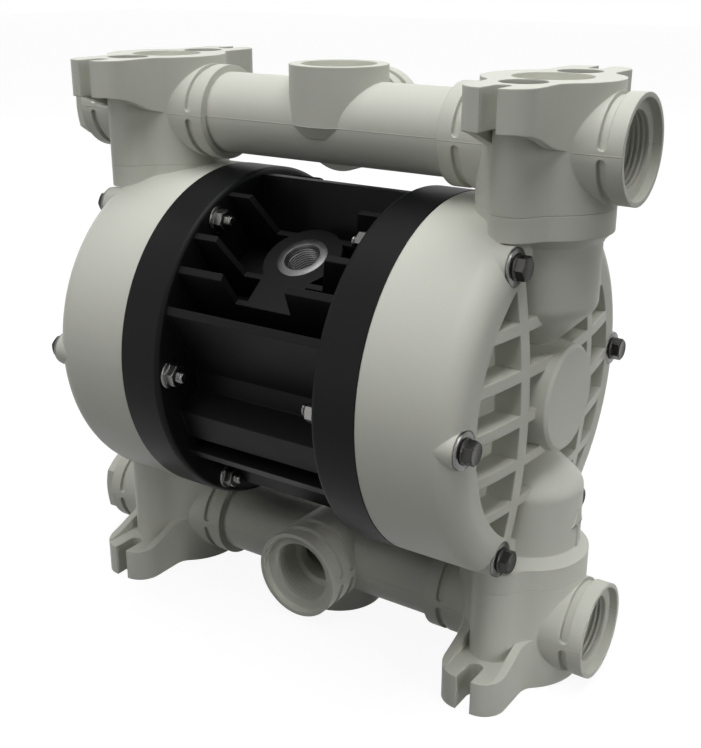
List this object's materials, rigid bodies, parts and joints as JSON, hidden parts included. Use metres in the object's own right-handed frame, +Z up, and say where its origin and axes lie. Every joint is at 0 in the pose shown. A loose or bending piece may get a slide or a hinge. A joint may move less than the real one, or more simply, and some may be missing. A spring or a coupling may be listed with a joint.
{
  "type": "air operated diaphragm pump",
  "caption": "Air operated double diaphragm pump in plastic: ribbed round covers on a finned centre block, ball check valves, and suction and delivery manifolds with threaded ports and feet.",
  "frame": {"origin": "on the floor under the middle of the pump, at the centre of the pattern of the four foot slots", "axes": "+X along the shaft towards the right-hand cover, +Y to the back (the air inlet and the middle suction port face the front, -Y), +Z up"},
  "size_m": [0.318, 0.18, 0.29],
  "materials": {
    "white_plastic": "satin",
    "black_plastic": "satin",
    "stainless": "satin",
    "zinc_steel": "satin",
    "bronze": "satin",
    "spool_plastic": "satin",
    "seal_rubber": "matte",
    "diaphragm_rubber": "matte",
    "ball_rubber": "matte"
  },
  "bodies": {
    "pump_body": {"centre_block": "black_plastic", "air_inlet_insert": "zinc_steel", "exhaust_insert": "zinc_steel", "valve_sleeve": "bronze", "sleeve_seals": "seal_rubber", "cover_right": "white_plastic", "cover_bolts_right": "stainless", "cover_washers_right": "stainless", "cover_nuts_right": "stainless", "diaphragm_right": "diaphragm_rubber", "valve_cap_right": "black_plastic", "cap_screws_right": "stainless", "shaft_bush_right": "bronze", "shaft_seal_right": "seal_rubber", "cover_left": "white_plastic", "cover_bolts_left": "stainless", "cover_washers_left": "stainless", "cover_nuts_left": "stainless", "diaphragm_left": "diaphragm_rubber", "valve_cap_left": "black_plastic", "cap_screws_left": "stainless", "shaft_bush_left": "bronze", "shaft_seal_left": "seal_rubber", "lower_manifold": "white_plastic", "lower_manifold_screws": "stainless", "lower_manifold_washers": "stainless", "lower_collar_inserts": "bronze", "lower_joint_seals": "seal_rubber", "lower_port_plug": "white_plastic", "lower_plug_seal": "seal_rubber", "upper_manifold": "white_plastic", "upper_manifold_screws": "stainless", "upper_manifold_washers": "stainless", "upper_collar_inserts": "bronze", "upper_joint_seals": "seal_rubber", "upper_port_plug": "white_plastic", "upper_plug_seal": "seal_rubber", "suction_seat_left": "white_plastic", "suction_cage_left": "white_plastic", "suction_seat_right": "white_plastic", "suction_cage_right": "white_plastic", "delivery_seat_left": "white_plastic", "delivery_cage_left": "white_plastic", "delivery_seat_right": "white_plastic", "delivery_cage_right": "white_plastic"},
    "shaft_assembly": {"main_shaft": "stainless", "inner_plate_right": "zinc_steel", "outer_plate_right": "white_plastic", "plate_screw_right": "stainless", "inner_plate_left": "zinc_steel", "outer_plate_left": "white_plastic", "plate_screw_left": "stainless"},
    "air_spool": {"valve_spool": "spool_plastic"},
    "suction_ball_left_body": {"suction_ball_left": "ball_rubber"},
    "suction_ball_right_body": {"suction_ball_right": "ball_rubber"},
    "delivery_ball_left_body": {"delivery_ball_left": "ball_rubber"},
    "delivery_ball_right_body": {"delivery_ball_right": "ball_rubber"}
  },
  "joints": [
    {"name": "shaft_stroke", "type": "slide", "parent": "pump_body", "child": "shaft_assembly", "axis": [1, 0, 0], "range_m": [-0.01, 0.01], "deforming": ["diaphragm_right", "diaphragm_left"]},
    {"name": "spool_shift", "type": "slide", "parent": "pump_body", "child": "air_spool", "axis": [1, 0, 0], "range_m": [-0.005, 0.005]},
    {"name": "suction_lift_left", "type": "slide", "parent": "pump_body", "child": "suction_ball_left_body", "axis": [0, 0, 1], "range_m": [0, 0.008]},
    {"name": "suction_lift_right", "type": "slide", "parent": "pump_body", "child": "suction_ball_right_body", "axis": [0, 0, 1], "range_m": [0, 0.008]},
    {"name": "delivery_lift_left", "type": "slide", "parent": "pump_body", "child": "delivery_ball_left_body", "axis": [0, 0, 1], "range_m": [0, 0.008]},
    {"name": "delivery_lift_right", "type": "slide", "parent": "pump_body", "child": "delivery_ball_right_body", "axis": [0, 0, 1], "range_m": [0, 0.008]}
  ]
}
